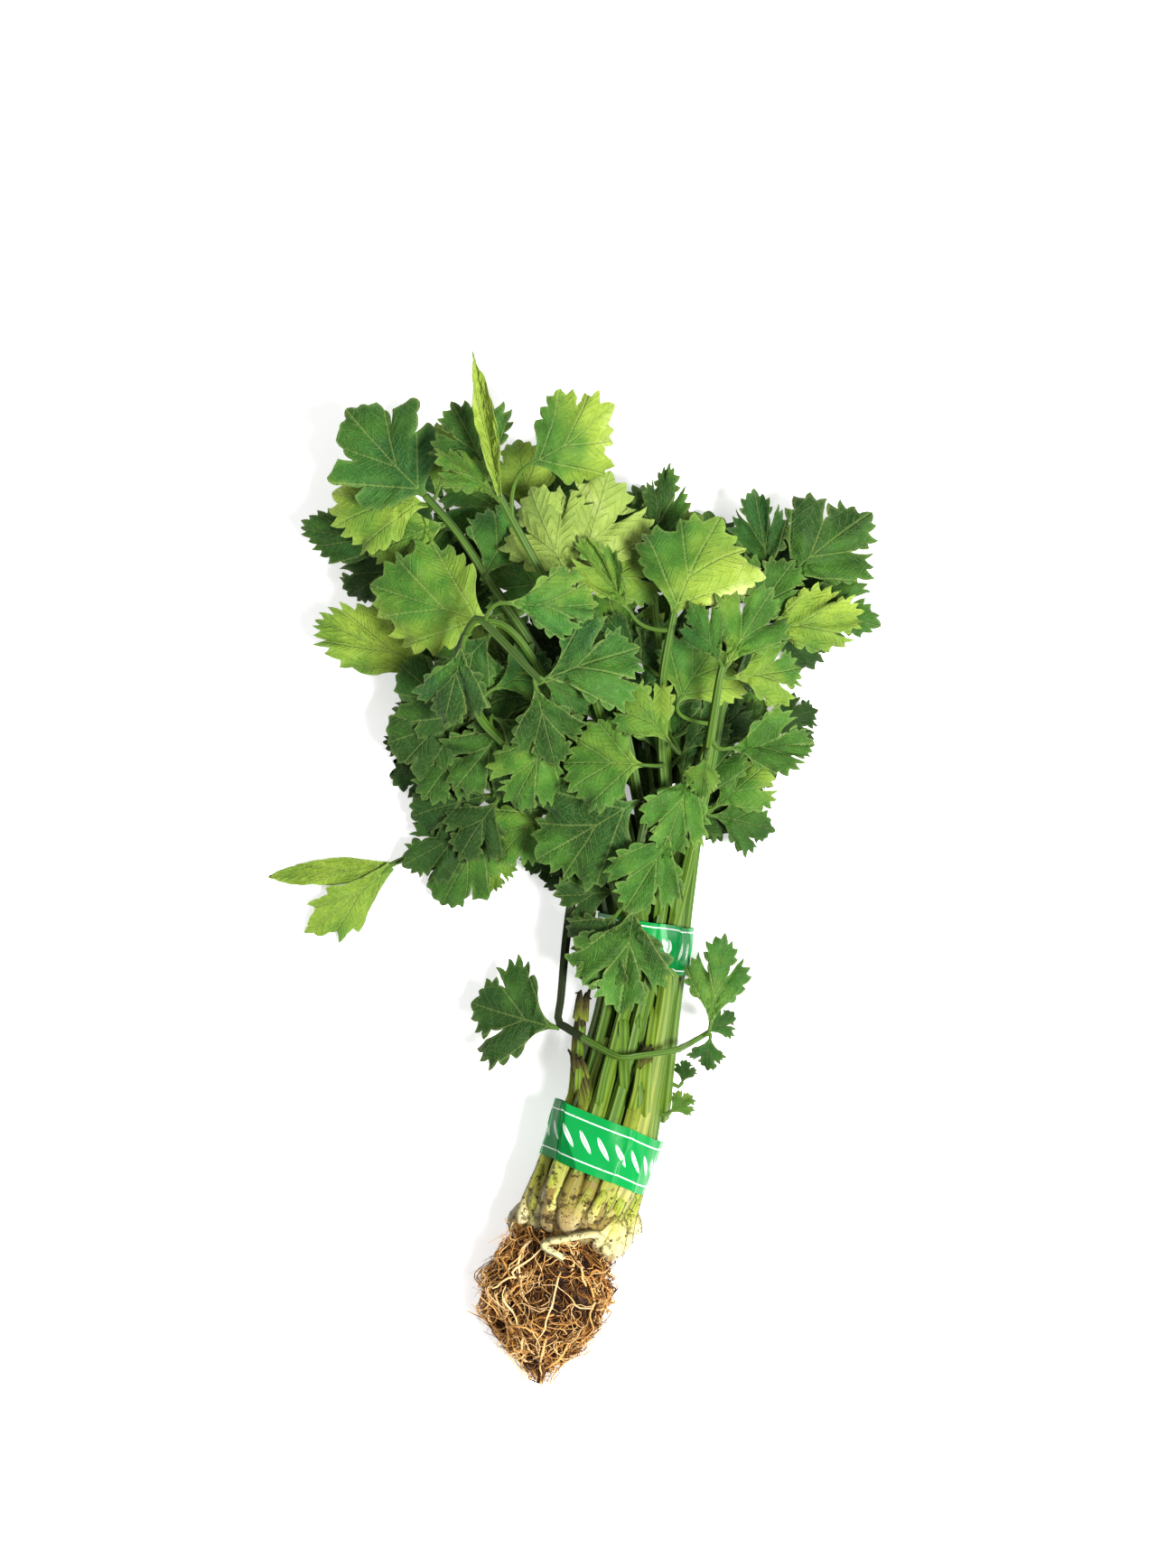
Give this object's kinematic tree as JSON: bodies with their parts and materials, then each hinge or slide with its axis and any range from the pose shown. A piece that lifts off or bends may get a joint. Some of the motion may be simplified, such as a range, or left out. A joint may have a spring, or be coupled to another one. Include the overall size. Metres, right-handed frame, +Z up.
{
  "type": "chinese celery bunch",
  "caption": "Fresh leafy bunch of Chinese celery lying on its side: thin stalks in two binding bands, toothed leaves fanned out, and a root ball.",
  "frame": {"origin": "middle of the bunch's footprint, on the surface that it lies on", "axes": "+Y from the roots to the leaves, +Z up from the surface that the bunch lies on, +X to the right of a viewer who looks down with the leaves at the top"},
  "size_m": [0.2394, 0.4, 0.0804],
  "materials": {
    "leaf": "fresh green leaf, satin",
    "old_stalk": "cut and withered stalk, matt",
    "crown": "pale crown with soil in its folds, matt",
    "root": "fibrous roots with soil, matt",
    "band": "glossy green film"
  },
  "bodies": {
    "root": {"root_mass": "root", "crown_left": "crown", "crown_middle": "crown", "crown_right": "crown", "old_stalk_long": "old_stalk", "old_stalk_short": "old_stalk", "old_stalk_broken": "old_stalk", "band_lower": "band", "band_upper": "band", "leafy_stalk_arching": "leaf", "leafy_stalk_top_spike": "leaf", "leafy_stalk_right_star": "leaf", "leafy_stalk_round_fan": "leaf", "leafy_stalk_over_band": "leaf", "leafy_stalk_drooping": "leaf", "leafy_stalk_left_broad": "leaf", "leafy_stalk_upper_left": "leaf", "leafy_stalk_pale_crown": "leaf", "leafy_stalk_right_broad": "leaf", "leafy_stalk_right_low": "leaf", "leafy_stalk_top_middle": "leaf", "leafy_stalk_left_yellow": "leaf", "leafy_stalk_left_point": "leaf", "leafy_stalk_right_lowest": "leaf", "leafy_stalk_left_dark": "leaf", "leafy_stalk_left_low": "leaf", "leafy_stalk_hanging_left": "leaf", "leafy_stalk_on_the_table": "leaf", "leafy_stalk_back_left": "leaf", "leafy_stalk_back_top": "leaf", "leafy_stalk_back_middle": "leaf", "leafy_stalk_back_right": "leaf", "leafy_stalk_under_right": "leaf", "leafy_stalk_under_left": "leaf", "leafy_stalk_under_right_low": "leaf"}
  },
  "joints": []
}
